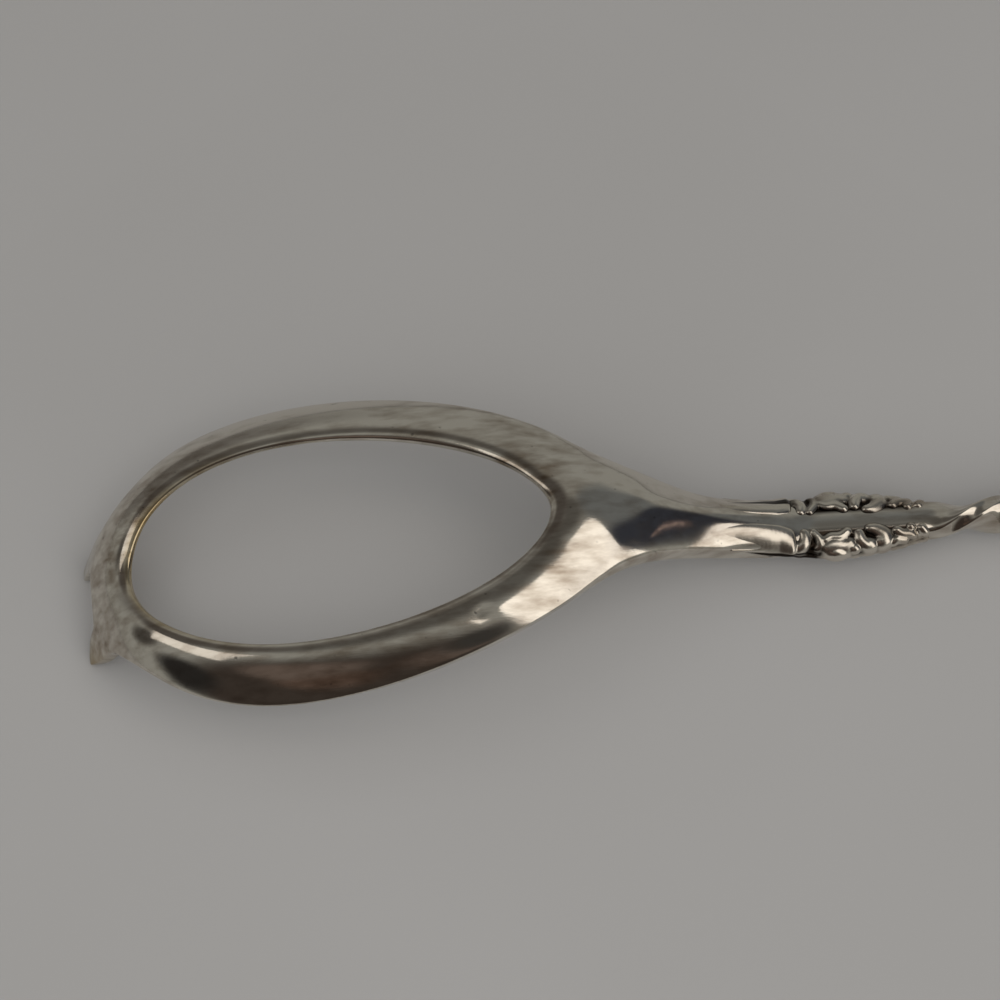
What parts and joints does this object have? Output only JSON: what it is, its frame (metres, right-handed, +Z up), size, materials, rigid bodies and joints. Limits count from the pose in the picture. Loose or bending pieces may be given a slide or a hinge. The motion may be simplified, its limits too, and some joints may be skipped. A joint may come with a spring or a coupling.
{
  "type": "olive fork",
  "caption": "Long-handled olive fork: pierced oval bowl with short tines at its tip, half-round neck with scroll borders, twisted stem and flat spatula handle",
  "frame": {"origin": "On the table under the middle of the fork, which lies face down with the back of its bowl up", "axes": "+X runs from the tines to the end of the handle, +Y across the fork, +Z up from the table"},
  "size_m": [0.21, 0.0288, 0.0127],
  "materials": {
    "silver_plate": "worn satin silver plate over a brass-like base metal",
    "oxidised_silver": "silver plate with dark tarnish in its crevices"
  },
  "bodies": {
    "root": {"bowl_ring": "silver_plate", "left_tine": "silver_plate", "right_tine": "silver_plate", "neck": "silver_plate", "neck_shank": "silver_plate", "left_neck_scroll": "oxidised_silver", "right_neck_scroll": "oxidised_silver", "twisted_stem": "silver_plate", "handle_shank": "silver_plate", "left_handle_scroll": "oxidised_silver", "right_handle_scroll": "oxidised_silver", "handle_blade": "silver_plate"}
  },
  "joints": []
}
